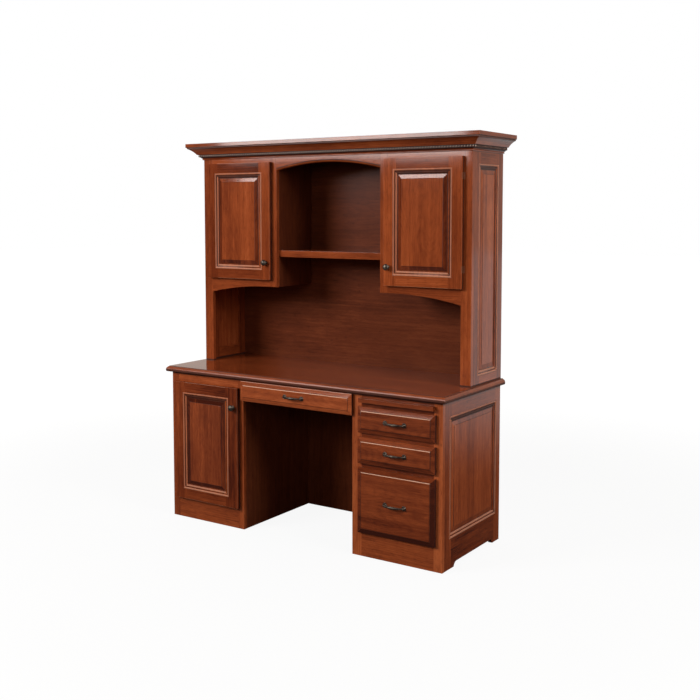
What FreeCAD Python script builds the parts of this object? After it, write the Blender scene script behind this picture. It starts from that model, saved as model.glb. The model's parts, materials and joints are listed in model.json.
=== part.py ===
import FreeCAD, Part
import math
import os

os.makedirs("parts", exist_ok=True)
V = FreeCAD.Vector

# A kneehole credenza with a hutch. Millimetres, +Z up, front towards -Y.
# While building, X = 0 is the middle, Y = 0 the front of the desk's face frames, Z = 0 the floor.

# Desk case
case_width = 1540.0
case_depth = 556.0
desk_height = 762.0
pedestal_width = 457.0
frame_thickness = 20.0
side_thickness = 19.0
back_thickness = 6.0
kneehole_back_thickness = 19.0
back_setback = 8.0

# Desk top and its moulded edge
top_thickness = 28.0
top_side_overhang = 23.0
top_front_overhang = 24.0
top_back_overhang = 4.0
nose_depth = 16.0
nose_shoulder = 4.0
nose_step = 2.0
nose_under = 6.0

# Desk face frames
overlay = 12.0
outer_stile = 42.0
left_inner_stile = 34.0
right_inner_stile = 50.0
left_base_rail = 114.0
left_top_rail = 57.0
right_top_rail = 19.5
front_gap = 19.0
file_opening = 270.0
drawer_opening = 94.0
board_rail = 30.5
board_slot = 17.0
kneehole_rail_height = 20.0

# Framed raised panels: moulded inner edge, groove and raised field
sticking_width = 18.0
sticking_step = 1.2
sticking_depth = 5.8
groove_front = 8.0
groove_width = 6.0
groove_depth = 9.0
panel_play = 1.5
bevel_width = 28.0
field_depth = 1.5
field_step = 1.5
curve_steps = 5

# Desk ends with their bracket feet
base_end_stile = 58.0
base_end_top_rail = 87.0
base_end_bottom_rail = 149.0
foot_length = 86.0
foot_back_length = 70.0
foot_sweep = 30.0
foot_height = 20.0

# Doors and drawer fronts
front_thickness = 20.0
base_door_stile = 74.0
base_door_rail = 68.0
hutch_door_stile = 66.0
drawer_edge = 7.0
drawer_bevel = 19.0
drawer_step = 2.8
drawer_round = 4.0
pencil_front_height = 96.0
pencil_front_drop = 6.0
pencil_front_lap = 6.0

# Drawer boxes and slides
box_wall = 13.0
box_bottom = 6.0
box_bottom_rise = 8.0
drawer_back_gap = 88.0
box_clearance = 7.0
file_headroom = 23.0
pencil_box_height = 60.0
pencil_box_gap = 9.0
slide_thickness = 12.7
slide_height = 40.0
slide_plate = 1.5
slide_gap = 0.4
slide_setback = 24.0
file_slide_rise = 68.0
packing_height = 50.0

# Writing board
board_thickness = 16.0
board_back_gap = 128.0
board_side_clearance = 1.0
board_lip_lap = 5.0
board_lip_over = 1.0
guide_grip = 12.0
guide_height = 42.0
guide_back_gap = 78.0
guide_gap = 0.3

# Hutch
hutch_depth = 308.0
hutch_height = 1035.0
crown_cover = 63.0
centre_opening = 600.0
inner_stile = 42.0
door_head = 22.0
hutch_outer_stile = 52.0
hutch_door_height = 580.0
arch_rise = 36.0
arch_spring = 64.0
valance_depth = 35.0
valance_drop = 39.0
valance_flat = 28.0
hutch_end_stile = 62.0
hutch_end_top_rail = 133.0
hutch_end_bottom_rail = 58.0
hutch_back_thickness = 12.0
hutch_back_setback = 2.0
centre_shelf_height = 580.0
shelf_thickness = 19.0
nosing_height = 32.0
nosing_depth = 20.0

# Crown moulding and the rope bead under its cove
crown_height = 81.0
crown_projection = 67.0
crown_fascia = 19.0
crown_fillet = 5.5
crown_fillet_set = 5.0
crown_bead = 6.0
crown_bead_set = 4.0
crown_bead_bulge = 2.5
rope_ledge = 5.0
rope_seat_low = 14.5
rope_seat_height = 12.0
rope_seat_set = 20.0
cove_set = 26.0
cove_hollow = 3.5
rope_radius = 5.0

# Loose shelves, their pins, and the dowels under the hutch
shelf_side_clearance = 1.0
shelf_front_set = 20.0
cabinet_shelf_rise = 300.0
pedestal_shelf_rise = 280.0
pin_radius = 2.5
pin_length = 18.0
pin_inset = 30.0
hole_clearance = 0.05
dowel_radius = 4.0
dowel_length = 30.0
cleat_size = 20.0

# Knobs, pulls and their screws
knob_radius = 15.0
knob_neck = 5.5
knob_base = 9.0
knob_reach = 27.0
knob_inset = 24.0
base_knob_drop = 94.0
hutch_knob_rise = 86.0
pull_centres = 96.0
pull_bow = 22.0
pull_bar_radius = 3.6
pull_bead_radius = 5.5
pull_foot_radius = 11.0
pull_foot_height = 10.0
screw_radius = 2.0
screw_head_radius = 4.0
screw_head_height = 2.5

# Hinges
hinge_height = 30.0
hinge_end_distance = 85.0
knuckle_radius = 3.2
knuckle_gap = 0.3
hinge_pin_radius = 1.5
hinge_bore_clearance = 0.05
leaf_thickness = 1.2
leaf_gap = 0.4
leaf_margin = 1.0
door_leaf_thickness = 1.5

# Places worked out from the sizes above
half = case_width / 2
top_under = desk_height - top_thickness
ped_in = half - pedestal_width
end_in = half - frame_thickness
front_clearance = leaf_thickness + leaf_gap
front_face = -front_clearance - front_thickness
hutch_back = case_depth + top_back_overhang
hutch_front = hutch_back - hutch_depth
hutch_inside = hutch_front + frame_thickness
hutch_wall = hutch_back - hutch_back_setback - hutch_back_thickness
crown_bottom = desk_height + hutch_height
hutch_top = crown_bottom + crown_cover
hutch_door_top = crown_bottom - door_head
hutch_door_bottom = hutch_door_top - hutch_door_height
bay = centre_opening / 2
door_in = bay + inner_stile - overlay
door_out = half - hutch_outer_stile + overlay
cabinet_floor_top = hutch_door_bottom + overlay
valance_bottom = hutch_door_bottom - valance_depth
inside_back = case_depth - back_setback
pull_reach = pull_bow + pull_bead_radius
front_reach = front_clearance + front_thickness + pull_reach
origin_shift = V(0, (front_reach - hutch_back) / 2, 0)

# Openings of the right pedestal from the desk top down
rail_between = front_gap + 2 * overlay
board_low = top_under - right_top_rail - board_slot
upper_low = board_low - board_rail - drawer_opening
middle_low = upper_low - rail_between - drawer_opening
file_low = middle_low - rail_between - file_opening
drawer_in = ped_in + right_inner_stile
drawer_out = half - outer_stile
box_back = inside_back - drawer_back_gap
slide_length = box_back - slide_setback


def board(x0, x1, y0, y1, z0, z1):
    return Part.makeBox(x1 - x0, y1 - y0, z1 - z0, V(x0, y0, z0))


def rod(radius, start, end):
    return Part.makeCylinder(radius, (end - start).Length, start, end - start)


def mirrored(shape):
    return shape.mirror(V(0, 0, 0), V(1, 0, 0))


def both_sides(shapes):
    return shapes + [mirrored(s) for s in shapes]


def moved(shape, x, y, z, turn=0):
    copy = shape.copy()
    copy.rotate(V(0, 0, 0), V(0, 0, 1), turn)
    copy.translate(V(x, y, z))
    return copy


def one_solid(pieces):
    return pieces[0].multiFuse(pieces[1:]).removeSplitter()


def save(node, solids):
    placed = [s.translated(origin_shift) for s in solids]
    shape = placed[0] if len(placed) == 1 else Part.makeCompound(placed)
    shape.exportStep("parts/%s.step" % node)


def outline(start, steps, place):
    """A closed face: a step is a corner, or a pair (point on the arc, end of the arc)."""
    edges = []
    here = start
    for step in steps + [start]:
        if len(step) == 2 and isinstance(step[0], tuple):
            edges.append(Part.Arc(place(*here), place(*step[0]), place(*step[1])).toShape())
            here = step[1]
        elif step != here:
            edges.append(Part.makeLine(place(*here), place(*step)))
            here = step
    return Part.Face(Part.Wire(edges))


def grown(rect, by):
    x0, x1, z0, z1 = rect
    return (x0 - by, x1 + by, z0 - by, z1 + by)


def slab(rect, y0, y1):
    x0, x1, z0, z1 = rect
    return board(x0, x1, y0, y1, z0, z1)


def tapered(rect_a, y_a, rect_b, y_b):
    """A four-sided taper between two rectangles that face the front."""
    wires = []
    for (x0, x1, z0, z1), y in ((rect_a, y_a), (rect_b, y_b)):
        corners = [V(x0, y, z0), V(x1, y, z0), V(x1, y, z1), V(x0, y, z1)]
        wires.append(Part.makePolygon(corners + corners[:1]))
    return Part.makeLoft(wires, True, True)


def framed_panel(width, height, thickness, stile, bottom, top):
    """Two stiles, two rails and a raised panel, with the lower left front corner at the origin."""
    sight = (stile, width - stile, bottom, height - top)
    boards = [
        board(0, stile, 0, thickness, 0, height),
        board(width - stile, width, 0, thickness, 0, height),
        board(stile, width - stile, 0, thickness, 0, bottom),
        board(stile, width - stile, 0, thickness, height - top, height),
    ]
    cutters = [slab(grown(sight, groove_depth), groove_front, groove_front + groove_width)]
    cutters.append(slab(grown(sight, sticking_width), -1, sticking_step))
    last = (sticking_width, sticking_step)
    for i in range(1, curve_steps + 1):
        part = i / curve_steps
        sink = (sticking_depth - sticking_step) * (1 - math.cos(math.pi * part)) / 2
        this = (sticking_width * (1 - part), sticking_step + sink)
        cutters.append(tapered(grown(sight, last[0]), last[1], grown(sight, this[0]), this[1]))
        last = this
    boards = [b.cut(cutters) for b in boards]
    field = grown(sight, -bevel_width)
    panel = one_solid([
        slab(grown(sight, groove_depth - panel_play), groove_front, groove_front + groove_width),
        tapered(sight, groove_front, field, field_depth + field_step),
        slab(field, field_depth, field_depth + field_step),
    ])
    return boards, panel


def edge_run(profile, reach, half_width, front, back):
    """A moulding along the front and both ends, mitred at the two front corners.
    The profile is (start, steps) in distance outwards and height."""
    start, steps = profile
    low, high = -1.0e4, 1.0e4

    def mitre(corners):
        face = Part.Face(Part.makePolygon([V(x, y, low) for x, y in corners + corners[:1]]))
        return face.extrude(V(0, 0, high - low))

    wide = half_width + reach
    ahead = front - reach
    along = outline(start, steps, lambda p, h: V(-wide, front - p, h)).extrude(V(2 * wide, 0, 0))
    front_run = along.common(
        mitre([(-half_width, front), (half_width, front), (wide, ahead), (-wide, ahead)]))
    across = outline(start, steps, lambda p, h: V(half_width + p, ahead, h))
    end_run = across.extrude(V(0, back - ahead, 0)).common(
        mitre([(half_width, front), (wide, ahead), (wide, back), (half_width, back)]))
    return [front_run, end_run, mirrored(end_run)]


def desk_top():
    core_half = half + top_side_overhang - nose_depth
    core_front = -top_front_overhang + nose_depth
    base = top_under
    round_low = base + nose_under
    round_high = desk_height - nose_step
    lean = nose_under * (1 - math.sqrt(0.5))
    rise = (round_high - round_low) * math.sqrt(0.5)
    fall = nose_shoulder + (nose_depth - nose_shoulder) * math.sqrt(0.5)
    steps = [
        (nose_depth - nose_under, base),
        ((nose_depth - lean, base + lean), (nose_depth, round_low)),
        ((fall, round_low + rise), (nose_shoulder, round_high)),
        (nose_shoulder, desk_height),
        (0, desk_height),
    ]
    nose = edge_run(((0, base), steps), nose_depth, core_half, core_front, hutch_back)
    core = board(-core_half, core_half, core_front, hutch_back, base, desk_height)
    return one_solid([core] + nose)


def dowel_lines():
    across = half - frame_thickness / 2
    places = (hutch_inside + pin_inset, hutch_back - pin_inset)
    low = desk_height - dowel_length / 2
    return [(V(x, y, low), V(x, y, low + dowel_length)) for x in (across, -across) for y in places]


def dowel_holes():
    reach = V(0, 0, hole_clearance)
    return [rod(dowel_radius + hole_clearance, a - reach, b + reach) for a, b in dowel_lines()]


def pin_lines(x0, x1, y0, y1, under):
    """Four shelf pins under a shelf between the walls at x0 and x1."""
    z = under - pin_radius
    reach = pin_length / 2
    lines = []
    for y in (y0, y1):
        for wall in (x0, x1):
            lines.append((V(wall - reach, y, z), V(wall + reach, y, z)))
    return lines


def pin_holes(lines):
    return [rod(pin_radius + hole_clearance, a, b) for a, b in lines]


cabinet_shelf_under = cabinet_floor_top + cabinet_shelf_rise
divider_out = bay + side_thickness
cabinet_pins = pin_lines(divider_out, end_in, hutch_inside + pin_inset, hutch_back - pin_inset,
                         cabinet_shelf_under)
pedestal_shelf_under = left_base_rail + pedestal_shelf_rise
pedestal_pins = pin_lines(ped_in + side_thickness, end_in, frame_thickness + pin_inset,
                          case_depth - pin_inset, pedestal_shelf_under)


def base_ends():
    """The right desk end, to be mirrored: framed panel with a cut-out between its bracket feet."""
    width = case_depth - frame_thickness
    boards, panel = framed_panel(width, top_under, frame_thickness, base_end_stile,
                                 base_end_bottom_rail, base_end_top_rail)
    back = width - foot_back_length
    bend = foot_sweep * (1 - math.sqrt(0.5))
    lift = foot_height * math.sqrt(0.5)
    steps = [
        ((foot_length + bend, lift), (foot_length + foot_sweep, foot_height)),
        (back - foot_sweep, foot_height),
        ((back - bend, lift), (back, 0)),
    ]
    gap = outline((foot_length, 0), steps, lambda x, z: V(x, 0, z)).extrude(V(0, frame_thickness, 0))
    boards[2] = boards[2].cut(gap)
    place = (half, frame_thickness, 0, 90)
    return [moved(b, *place) for b in boards], moved(panel, *place)


def hutch_ends():
    """The right hutch end, to be mirrored."""
    boards, panel = framed_panel(hutch_depth - frame_thickness, hutch_top - desk_height, frame_thickness,
                                 hutch_end_stile, hutch_end_bottom_rail, hutch_end_top_rail)
    place = (half, hutch_inside, desk_height, 90)
    return [moved(b, *place) for b in boards], moved(panel, *place)


def face_board(x0, x1, z0, z1):
    return board(x0, x1, 0, frame_thickness, z0, z1)


def left_face_frame():
    left, right = -half + outer_stile, -ped_in - left_inner_stile
    return [
        face_board(-half, left, 0, top_under),
        face_board(right, -ped_in, 0, top_under),
        face_board(left, right, 0, left_base_rail),
        face_board(left, right, top_under - left_top_rail, top_under),
    ]


def right_face_frame():
    rails = [
        (0, file_low),
        (file_low + file_opening, middle_low),
        (middle_low + drawer_opening, upper_low),
        (upper_low + drawer_opening, board_low),
        (board_low + board_slot, top_under),
    ]
    stiles = [face_board(ped_in, drawer_in, 0, top_under), face_board(drawer_out, half, 0, top_under)]
    return stiles + [face_board(drawer_in, drawer_out, low, high) for low, high in rails]


def arc_on(x, low_z, rise, run):
    """Height of a flat arc that climbs by rise over run, at the distance x before its crown."""
    radius = (run * run + rise * rise) / (2 * rise)
    return low_z + rise - (radius - math.sqrt(radius * radius - x * x))


def hutch_face_frame():
    stile_in = bay + inner_stile
    stile_out = door_out - overlay
    head = hutch_door_top - overlay
    spring = crown_bottom - arch_spring

    def face(start, steps):
        flat = outline(start, steps, lambda x, z: V(x, hutch_front, z))
        return flat.extrude(V(0, frame_thickness, 0))

    def upright(x0, x1, z0, z1):
        return board(x0, x1, hutch_front, hutch_inside, z0, z1)

    arch = face((-bay, spring), [
        ((0, spring + arch_rise), (bay, spring)),
        (bay, hutch_top),
        (-bay, hutch_top),
    ])
    flat_end = stile_in + valance_flat
    run = stile_out - flat_end
    low = valance_bottom - valance_drop
    middle = arc_on(run / 2, low, valance_drop, run)
    valance = face((stile_in, valance_bottom), [
        (flat_end, valance_bottom),
        ((flat_end + run / 2, middle), (stile_out, low)),
        (stile_out, cabinet_floor_top),
        (stile_in, cabinet_floor_top),
    ])
    right_half = [
        upright(stile_out, half, desk_height, hutch_top),
        upright(bay, stile_in, valance_bottom, hutch_top),
        upright(stile_in, stile_out, head, hutch_top),
        valance,
    ]
    return both_sides(right_half) + [arch]


def crown_runs():
    base = crown_bottom
    cove_low = base + rope_seat_low + rope_seat_height
    cove_high = base + crown_height - crown_fascia - crown_fillet
    cove_out = crown_projection - crown_fillet_set
    cove_run, cove_climb = cove_out - cove_set, cove_high - cove_low
    inwards = cove_hollow / math.hypot(cove_run, cove_climb)
    cove_mid = (
        (cove_set + cove_out) / 2 - cove_climb * inwards,
        (cove_low + cove_high) / 2 + cove_run * inwards,
    )
    bead_mid = (crown_bead_set + crown_bead_bulge, base + crown_bead / 2)
    crown = ((0, base), [
        (crown_bead_set, base),
        (bead_mid, (crown_bead_set, base + crown_bead)),
        (rope_seat_set - rope_ledge, base + rope_seat_low),
        (rope_seat_set, base + rope_seat_low),
        (rope_seat_set, cove_low),
        (cove_set, cove_low),
        (cove_mid, (cove_out, cove_high)),
        (cove_out, cove_high + crown_fillet),
        (crown_projection, cove_high + crown_fillet),
        (crown_projection, base + crown_height),
        (0, base + crown_height),
    ])
    middle = base + rope_seat_low + rope_seat_height / 2
    rope = ((rope_seat_set, middle - rope_radius), [
        ((rope_seat_set + rope_radius, middle), (rope_seat_set, middle + rope_radius)),
    ])
    place = (half, hutch_front, hutch_back)
    return edge_run(crown, crown_projection, *place), edge_run(rope, crown_projection, *place)


def turned(start, steps):
    """A shape turned about the Y axis from an outline in radius and distance from the front face."""
    return outline(start, steps, lambda r, y: V(r, y, 0)).revolve(V(0, 0, 0), V(0, 1, 0), 360)


def screw(through):
    """A screw from behind: shank along -Y up to the front face at Y = 0, head on the back."""
    shank = rod(screw_radius, V(0, 0, 0), V(0, through, 0))
    head = rod(screw_head_radius, V(0, through, 0), V(0, through + screw_head_height, 0))
    return one_solid([shank, head])


def screw_hole(through):
    return rod(screw_radius + hole_clearance, V(0, 0, 0), V(0, through, 0))


def knob():
    base_height = knob_reach / 8
    neck_end = knob_reach / 2
    rim = knob_reach * 5 / 8
    dome = knob_reach - rim
    dome_radius = (knob_radius ** 2 + dome ** 2) / (2 * dome)
    half_angle = math.asin(knob_radius / dome_radius) / 2
    dome_side = dome_radius * math.sin(half_angle)
    dome_drop = dome_radius * (1 - math.cos(half_angle))
    return turned((0, 0), [
        (knob_base, 0),
        (knob_base, -base_height),
        ((knob_neck, -knob_reach / 3), (knob_neck + 1, -neck_end)),
        (knob_radius, -rim),
        ((dome_side, dome_drop - knob_reach), (0, -knob_reach)),
    ])


def pull():
    """A bowed bar with a bead in its middle, on two turned feet. Its back is at Y = 0."""
    reach = pull_centres / 2
    seat = -pull_foot_height
    rise = pull_bow - pull_foot_height
    bow_radius = (reach ** 2 + rise ** 2) / (2 * rise)
    centre = V(0, bow_radius - pull_bow, 0)
    start = V(-reach, seat, 0)
    ring = Part.makeCircle(pull_bar_radius, start, (start - centre).cross(V(0, 0, 1)))
    turn = 2 * math.degrees(math.asin(reach / bow_radius))
    bar = Part.Face(Part.Wire(ring)).revolve(centre, V(0, 0, 1), turn)
    foot = turned((0, 0), [
        (pull_foot_radius, 0),
        (pull_foot_radius, -pull_foot_height / 4),
        ((pull_foot_radius * 0.6, -pull_foot_height / 2), (pull_bead_radius, seat)),
        (pull_bead_radius, seat - pull_bar_radius),
        (0, seat - pull_bar_radius),
    ])
    shoulder = (pull_bar_radius + pull_bead_radius) / 2
    bead = turned((0, -pull_bead_radius), [
        (shoulder, -pull_bead_radius),
        ((pull_bead_radius, 0), (shoulder, pull_bead_radius)),
        (0, pull_bead_radius),
    ])
    feet = [moved(foot, side * reach, 0, 0) for side in (-1, 1)]
    return one_solid([bar] + feet + [moved(bead, 0, -pull_bow, 0, 90)])


def hinge_zs(bottom, height):
    low = bottom + hinge_end_distance - hinge_height / 2
    return (low, bottom + height - hinge_end_distance - hinge_height / 2)


hinge_set = knuckle_radius + knuckle_gap
hinge_stand = knuckle_radius + leaf_thickness / 2
frame_leaf_width = hinge_set + overlay - leaf_margin


def hinge_leaves():
    """Frame leaf and door leaf of a right hand hinge, with its axis on Z and the door towards -X."""
    third = hinge_height / 3
    low, high = third + knuckle_gap / 2, 2 * third - knuckle_gap / 2
    frame_leaf = one_solid([
        rod(knuckle_radius, V(0, 0, 0), V(0, 0, third - knuckle_gap / 2)),
        rod(knuckle_radius, V(0, 0, 2 * third + knuckle_gap / 2), V(0, 0, hinge_height)),
        rod(hinge_pin_radius, V(0, 0, 0), V(0, 0, hinge_height)),
        board(-frame_leaf_width, 0, hinge_stand - leaf_thickness, hinge_stand, 0, hinge_height),
    ])
    notch = board(-knuckle_radius - 2 * knuckle_gap, knuckle_radius, hinge_stand - leaf_thickness,
                  hinge_stand, third - knuckle_gap / 2, 2 * third + knuckle_gap / 2)
    frame_leaf = frame_leaf.cut(notch)
    bore = rod(hinge_pin_radius + hinge_bore_clearance, V(0, 0, 0), V(0, 0, hinge_height))
    door_leaf = one_solid([
        rod(knuckle_radius, V(0, 0, low), V(0, 0, high)),
        board(-hinge_set, 0, -leaf_thickness / 2, leaf_thickness / 2, low, high),
        door_leaf_plate(),
    ]).cut(bore)
    return frame_leaf, door_leaf


def door_leaf_plate():
    """The part of the door leaf that is let into the door's edge."""
    inner = -hinge_set - door_leaf_thickness
    behind = hinge_stand - front_clearance - leaf_margin
    ahead = behind - front_thickness + 2 * leaf_margin
    return board(inner, -hinge_set, ahead, behind, 0, hinge_height)


hinge_frame_solids = []


def door(name, x0, x1, z0, height, face, stile, rail, hinge_side, knob_z):
    """A framed door with its knob and two hinges. hinge_side is -1 or 1."""
    width = x1 - x0
    front = face + front_face
    boards, panel = framed_panel(width, height, front_thickness, stile, rail, rail)
    boards = [moved(b, x0, front, z0) for b in boards]
    knob_x = x1 - knob_inset if hinge_side < 0 else x0 + knob_inset
    knob_stile, hinge_stile = (1, 0) if hinge_side < 0 else (0, 1)
    boards[knob_stile] = boards[knob_stile].cut(moved(screw_hole(front_thickness), knob_x, front, knob_z))
    axis_x = x1 + hinge_set if hinge_side > 0 else x0 - hinge_set
    frame_leaf, door_leaf = hinge_leaves()
    plate = door_leaf_plate()
    if hinge_side < 0:
        frame_leaf, door_leaf, plate = mirrored(frame_leaf), mirrored(door_leaf), mirrored(plate)
    leaves = []
    for z in hinge_zs(z0, height):
        place = (axis_x, face - hinge_stand, z)
        hinge_frame_solids.append(moved(frame_leaf, *place))
        leaves.append(moved(door_leaf, *place))
        boards[hinge_stile] = boards[hinge_stile].cut(moved(plate, *place))
    save(name + "_frame", boards)
    save(name + "_panel", [moved(panel, x0, front, z0)])
    save(name + "_knob", [moved(s, knob_x, front, knob_z) for s in (knob(), screw(front_thickness))])
    save(name + "_hinge_leaves", leaves)
    print(name, "hinge axis x", axis_x, "y", face - hinge_stand + origin_shift.y)


def drawer_front(width, height):
    """A drawer front with a bevelled border and a raised field. Its field is at Y = 0."""
    whole = (0, width, 0, height)
    pieces = [slab(whole, drawer_edge, front_thickness)]
    levels = [(0, drawer_edge), (drawer_bevel, drawer_step)]
    for i in range(1, curve_steps + 1):
        angle = math.pi / 2 * i / curve_steps
        inset = drawer_bevel + drawer_round * (1 - math.cos(angle))
        levels.append((inset, drawer_step * (1 - math.sin(angle))))
    for (a, y_a), (b, y_b) in zip(levels, levels[1:]):
        pieces.append(tapered(grown(whole, -a), y_a, grown(whole, -b), y_b))
    return one_solid(pieces)


def drawer_box(x0, x1, z0, height):
    """Two sides, front, back and a bottom between them."""
    y0 = -front_clearance
    y1 = box_back
    inner0, inner1 = x0 + box_wall, x1 - box_wall
    rise = z0 + box_bottom_rise
    return [
        board(x0, inner0, y0, y1, z0, z0 + height),
        board(inner1, x1, y0, y1, z0, z0 + height),
        board(inner0, inner1, y0, y0 + box_wall, z0, z0 + height),
        board(inner0, inner1, y1 - box_wall, y1, z0, z0 + height),
        board(inner0, inner1, y0 + box_wall, y1 - box_wall, rise, rise + box_bottom),
    ]


def channel(web, lips, half_height):
    """A slide member along Y: an upright web and two lips, each given by its two distances from the case."""
    web0, web1 = sorted(web)
    lip0, lip1 = sorted(lips)
    plate = board(web0, web1, 0, slide_length, -half_height, half_height)
    upper = board(lip0, lip1, 0, slide_length, half_height - slide_plate, half_height)
    lower = board(lip0, lip1, 0, slide_length, -half_height, slide_plate - half_height)
    return one_solid([plate, upper, lower])


def slide_members(with_middle):
    """Case, middle and drawer members of a slide on a wall at X = 0, with the drawer towards +X."""
    tall = slide_height / 2
    step = slide_plate + slide_gap
    drawer_web = (slide_thickness - slide_plate, slide_thickness)
    if not with_middle:
        deep = slide_thickness - 2 * slide_plate
        case = channel((0, slide_plate), (0, deep), tall)
        inner = channel(drawer_web, (2 * slide_plate, slide_thickness), tall - step)
        return case, None, inner
    case_lip = slide_thickness * 0.6
    middle_web = case_lip - slide_plate - slide_gap
    middle_lips = (middle_web, slide_thickness - slide_plate)
    case = channel((0, slide_plate), (0, case_lip), tall)
    middle = channel((middle_web - slide_plate, middle_web), middle_lips, tall - step)
    inner = channel(drawer_web, (middle_web + slide_gap, slide_thickness), tall - 2 * step)
    return case, middle, inner


slide_case_solids = []
packing_solids = []


def slide_pair(x0, x1, z, with_middle):
    """Slides on both walls of an opening, turned so that each drawer member faces inwards."""
    left = [moved(m, 0, slide_setback, z) for m in slide_members(with_middle) if m]
    right = [moved(mirrored(m), x1, 0, 0) for m in left]
    left = [moved(m, x0, 0, 0) for m in left]
    slide_case_solids.extend([left[0], right[0]])
    middles = [left[1], right[1]] if with_middle else []
    return middles, [left[-1], right[-1]]


def drawer(name, wall0, wall1, front_rect, box_low, box_height, slide_z, with_middle):
    """A drawer with its front, box, pull and slide members between the walls of its opening."""
    x0, x1, z0, z1 = front_rect
    through = front_thickness + box_wall
    middle_x, middle_z = (x0 + x1) / 2, (z0 + z1) / 2
    places = [(middle_x + side * pull_centres / 2, front_face, middle_z) for side in (-1, 1)]
    holes = [moved(screw_hole(through), *p) for p in places]
    front = moved(drawer_front(x1 - x0, z1 - z0), x0, front_face, z0)
    save(name + "_front", [front.cut(holes)])
    boards = drawer_box(wall0 + slide_thickness, wall1 - slide_thickness, box_low, box_height)
    boards[2] = boards[2].cut(holes)
    save(name + "_box", boards)
    handle = moved(pull(), middle_x, front_face, middle_z)
    save(name + "_pull", [handle] + [moved(screw(through), *p) for p in places])
    middles, inners = slide_pair(wall0, wall1, slide_z, with_middle)
    save(name + "_slide_members", inners)
    if middles:
        save(name + "_middle_slides", middles)


def pedestal_drawer(name, low, opening, box_height, slide_rise):
    """A drawer of the right pedestal, with packing behind its face frame to carry the slides."""
    rect = (drawer_in - overlay, drawer_out + overlay, low - overlay, low + opening + overlay)
    box_low = low + box_clearance
    slide_z = box_low + slide_rise
    z0, z1 = slide_z - packing_height / 2, slide_z + packing_height / 2
    y1 = box_back
    packing_solids.append(board(ped_in + side_thickness, drawer_in, frame_thickness, y1, z0, z1))
    packing_solids.append(board(drawer_out, end_in, frame_thickness, y1, z0, z1))
    drawer(name, drawer_in, drawer_out, rect, box_low, box_height, slide_z, True)


def writing_board():
    """A pull-out board with its front lip, and the two grooved guides that it runs in."""
    middle = board_low + board_slot / 2
    low, high = middle - board_thickness / 2, middle + board_thickness / 2
    x0, x1 = drawer_in + board_side_clearance, drawer_out - board_side_clearance
    lip = board(drawer_in - board_lip_lap, drawer_out + board_lip_lap, front_face, -front_clearance,
                board_low - board_lip_over, board_low + board_slot + board_lip_over)
    board_back = inside_back - board_back_gap
    save("writing_board", [board(x0, x1, -front_clearance, board_back, low, high), lip])
    guide_end = inside_back - guide_back_gap
    groove = board(x0 - guide_gap, x1 + guide_gap, frame_thickness, guide_end,
                   low - guide_gap, high + guide_gap)
    guides = []
    for a, b in ((ped_in + side_thickness, x0 + guide_grip), (x1 - guide_grip, end_in)):
        block = board(a, b, frame_thickness, guide_end, middle - guide_height / 2, middle + guide_height / 2)
        guides.append(block.cut(groove))
    save("writing_board_guides", guides)


def build_desk():
    save("desk_top", [desk_top().cut(dowel_holes())])
    boards, panel = base_ends()
    left_boards = [mirrored(b).cut(pin_holes(left_pins)) for b in boards]
    save("base_end_frames", boards + left_boards)
    save("base_end_panels", both_sides([panel]))
    side = board(ped_in, ped_in + side_thickness, frame_thickness, inside_back, 0, top_under)
    save("pedestal_inner_sides", [side, mirrored(side).cut(pin_holes(left_pins))])
    save("left_face_frame", left_face_frame())
    save("right_face_frame", right_face_frame())
    save("kneehole_rail", [face_board(-ped_in, ped_in, top_under - kneehole_rail_height, top_under)])
    sheet = board(ped_in, end_in, inside_back, inside_back + back_thickness, 0, top_under)
    knee = board(-ped_in, ped_in, inside_back - kneehole_back_thickness, inside_back, 0, top_under)
    save("base_back_panels", both_sides([sheet]) + [knee])
    inner = ped_in + side_thickness
    floors = []
    for side_sign, top in ((-1, left_base_rail), (1, file_low)):
        floor = board(inner, end_in, frame_thickness, inside_back, top - side_thickness, top)
        floors.append(floor if side_sign > 0 else mirrored(floor))
    save("pedestal_floors", floors)
    gap = shelf_side_clearance
    shelf = board(inner + gap, end_in - gap, frame_thickness + shelf_front_set, inside_back - gap,
                  pedestal_shelf_under, pedestal_shelf_under + shelf_thickness)
    save("pedestal_shelf", [mirrored(shelf)])
    low = top_under - cleat_size
    knee_back = inside_back - kneehole_back_thickness
    back_cleat = board(inner, end_in, inside_back - cleat_size, inside_back, low, top_under)
    front_cleat = board(inner, end_in, frame_thickness, frame_thickness + cleat_size, low, top_under)
    knee_cleat = board(-ped_in, ped_in, knee_back - cleat_size, knee_back, low, top_under)
    save("top_cleats", both_sides([back_cleat]) + [mirrored(front_cleat), knee_cleat])


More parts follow.
